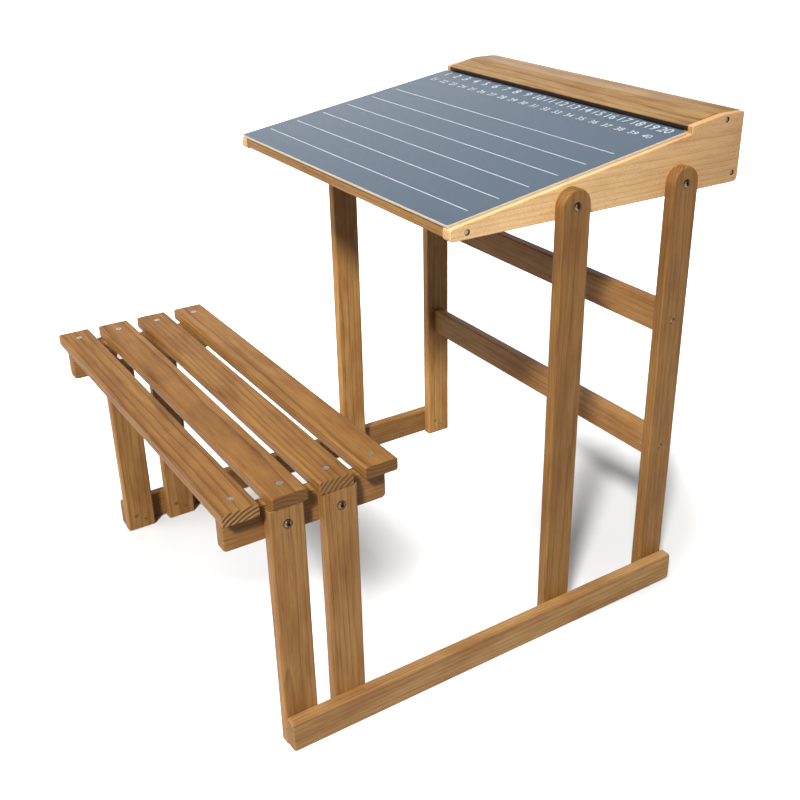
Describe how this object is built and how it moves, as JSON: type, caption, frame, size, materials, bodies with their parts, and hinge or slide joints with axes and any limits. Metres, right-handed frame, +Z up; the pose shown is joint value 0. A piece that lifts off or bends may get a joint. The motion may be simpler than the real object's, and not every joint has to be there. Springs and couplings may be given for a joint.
{
  "type": "school desk",
  "caption": "Child's wooden school desk and slatted bench on one frame, with a sloping hinged slate-grey writing lid over a shallow storage box.",
  "frame": {"origin": "on the floor, under the middle of the overall box", "axes": "+Z up, +Y the way the seated pupil faces, +X to the pupil's right"},
  "size_m": [0.628, 0.7874, 0.7001],
  "materials": {
    "stained_pine": "satin stained varnish",
    "beech": "satin clear varnish",
    "plank_wood": "satin stained varnish",
    "plywood": "sanded",
    "slate_board": "fibre board with satin slate-grey writing coat",
    "zinc_steel": "bright zinc plate",
    "browned_steel": "browned, to match the stain",
    "dark_wax": "wax filling",
    "white_print": "printed ink",
    "hinge_steel": "dull zinc plate"
  },
  "bodies": {
    "frame": {"back_board": "beech", "bench_leg_bolts": "zinc_steel", "bench_leg_nuts": "zinc_steel", "box_bottom": "plywood", "crossbar_barrel_nuts": "zinc_steel", "crossbar_bolts": "zinc_steel", "desk_leg_bolts": "zinc_steel", "desk_leg_nuts": "zinc_steel", "foot_screws": "browned_steel", "front_rail": "stained_pine", "hinge_plank_screws": "zinc_steel", "left_bearer": "stained_pine", "left_front_bench_leg": "stained_pine", "left_front_desk_leg": "stained_pine", "left_hinge_fixed_leaf": "hinge_steel", "left_hinge_pin": "hinge_steel", "left_rear_bench_leg": "stained_pine", "left_rear_desk_leg": "stained_pine", "left_runner": "stained_pine", "left_side_panel": "beech", "lower_crossbar": "stained_pine", "panel_screws": "zinc_steel", "right_bearer": "stained_pine", "right_front_bench_leg": "stained_pine", "right_front_desk_leg": "stained_pine", "right_hinge_fixed_leaf": "hinge_steel", "right_hinge_pin": "hinge_steel", "right_rear_bench_leg": "stained_pine", "right_rear_desk_leg": "stained_pine", "right_runner": "stained_pine", "right_side_panel": "beech", "seat_slat_1": "stained_pine", "seat_slat_2": "stained_pine", "seat_slat_3": "stained_pine", "seat_slat_4": "stained_pine", "slat_screws": "zinc_steel", "top_plank": "plank_wood", "upper_crossbar": "stained_pine"},
    "lid": {"hinge_lid_screws": "zinc_steel", "left_hinge_moving_leaf": "hinge_steel", "lid_board": "slate_board", "right_hinge_moving_leaf": "hinge_steel"}
  },
  "joints": [
    {"name": "lid_hinge", "type": "hinge", "parent": "frame", "child": "lid", "pos_m": [0, 0.29451, 0.68257], "axis": [-1, 0, 0], "range_deg": [0, 104]}
  ]
}
